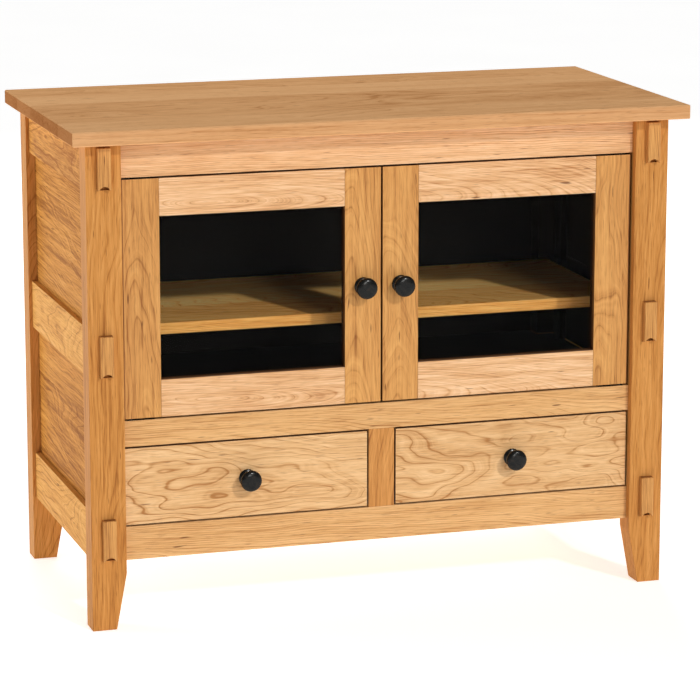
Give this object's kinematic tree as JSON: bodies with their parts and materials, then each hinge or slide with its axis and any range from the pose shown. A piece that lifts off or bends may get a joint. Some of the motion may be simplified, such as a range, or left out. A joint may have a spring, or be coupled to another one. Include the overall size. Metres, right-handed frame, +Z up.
{
  "type": "media console cabinet",
  "caption": "Low framed wooden cabinet for a television, with glass doors over drawers, panelled sides, tapered feet and an overhanging top.",
  "frame": {"origin": "centre of the cabinet's outline at floor level", "axes": "+X to the cabinet's right end as its front is faced, +Y to its back, +Z up; the doors and drawers face -Y"},
  "size_m": [1.067, 0.533, 0.84],
  "materials": {
    "cherry": "satin, upright grain",
    "cherry_top": "satin, edge-glued boards with grain along X",
    "cherry_rail": "satin, grain along the rail",
    "cherry_panel": "satin, grain along Y",
    "drawer_wood": "clear lacquer on pale maple",
    "dark_board": "black stain, matte",
    "glass": "clear, polished",
    "dark_bronze": "oil-rubbed bronze, satin",
    "steel": "zinc plated"
  },
  "bodies": {
    "case": {"top_slab": "cherry_top", "front_left_post": "cherry", "front_right_post": "cherry", "back_left_post": "cherry", "back_right_post": "cherry", "left_bottom_side_rail": "cherry_rail", "left_middle_side_rail": "cherry_rail", "left_top_side_rail": "cherry_rail", "right_bottom_side_rail": "cherry_rail", "right_middle_side_rail": "cherry_rail", "right_top_side_rail": "cherry_rail", "left_lower_side_panel": "cherry_panel", "left_upper_side_panel": "cherry_panel", "right_lower_side_panel": "cherry_panel", "right_upper_side_panel": "cherry_panel", "front_top_rail": "cherry_rail", "front_middle_rail": "cherry_rail", "front_bottom_rail": "cherry_rail", "drawer_mullion": "cherry", "back_panel": "dark_board", "back_rails": "cherry_rail", "cabinet_floor": "dark_board", "slide_bearers": "drawer_wood", "shelf": "cherry_rail", "shelf_cleats": "dark_board", "shelf_pins": "steel", "tenon_keys": "cherry", "hinge_case_plates": "dark_bronze", "door_catch": "steel", "slide_case_rails": "steel"},
    "left_door": {"left_door_hinge_stile": "cherry", "left_door_meeting_stile": "cherry", "left_door_top_rail": "cherry_rail", "left_door_bottom_rail": "cherry_rail", "left_door_glass": "glass", "left_door_glass_stops": "cherry", "left_door_knob": "dark_bronze", "left_door_fittings": "dark_bronze"},
    "left_drawer": {"left_drawer_front": "cherry_rail", "left_drawer_sides": "drawer_wood", "left_drawer_back": "drawer_wood", "left_drawer_bottom": "drawer_wood", "left_drawer_knob": "dark_bronze", "left_drawer_slide_rails": "steel"},
    "left_middle_slides": {"left_slide_middle": "steel"},
    "right_door": {"right_door_hinge_stile": "cherry", "right_door_meeting_stile": "cherry", "right_door_top_rail": "cherry_rail", "right_door_bottom_rail": "cherry_rail", "right_door_glass": "glass", "right_door_glass_stops": "cherry", "right_door_knob": "dark_bronze", "right_door_fittings": "dark_bronze"},
    "right_drawer": {"right_drawer_front": "cherry_rail", "right_drawer_sides": "drawer_wood", "right_drawer_back": "drawer_wood", "right_drawer_bottom": "drawer_wood", "right_drawer_knob": "dark_bronze", "right_drawer_slide_rails": "steel"},
    "right_middle_slides": {"right_slide_middle": "steel"}
  },
  "joints": [
    {"name": "left_door_hinge", "type": "hinge", "parent": "case", "child": "left_door", "pos_m": [-0.4325, -0.2155, 0.5535], "axis": [0, 0, -1], "range_deg": [0, 100]},
    {"name": "right_door_hinge", "type": "hinge", "parent": "case", "child": "right_door", "pos_m": [0.4325, -0.2155, 0.5535], "axis": [0, 0, 1], "range_deg": [0, 100]},
    {"name": "left_drawer_slide", "type": "slide", "parent": "case", "child": "left_drawer", "axis": [0, -1, 0], "range_m": [0, 0.36]},
    {"name": "right_drawer_slide", "type": "slide", "parent": "case", "child": "right_drawer", "axis": [0, -1, 0], "range_m": [0, 0.36]},
    {"name": "left_middle_slide", "type": "slide", "parent": "case", "child": "left_middle_slides", "axis": [0, -1, 0], "range_m": [0, 0.18]},
    {"name": "right_middle_slide", "type": "slide", "parent": "case", "child": "right_middle_slides", "axis": [0, -1, 0], "range_m": [0, 0.18]}
  ],
  "couplings": [
    {"joint": "left_middle_slide", "follows": "left_drawer_slide", "ratio": 0.5},
    {"joint": "right_middle_slide", "follows": "right_drawer_slide", "ratio": 0.5}
  ]
}
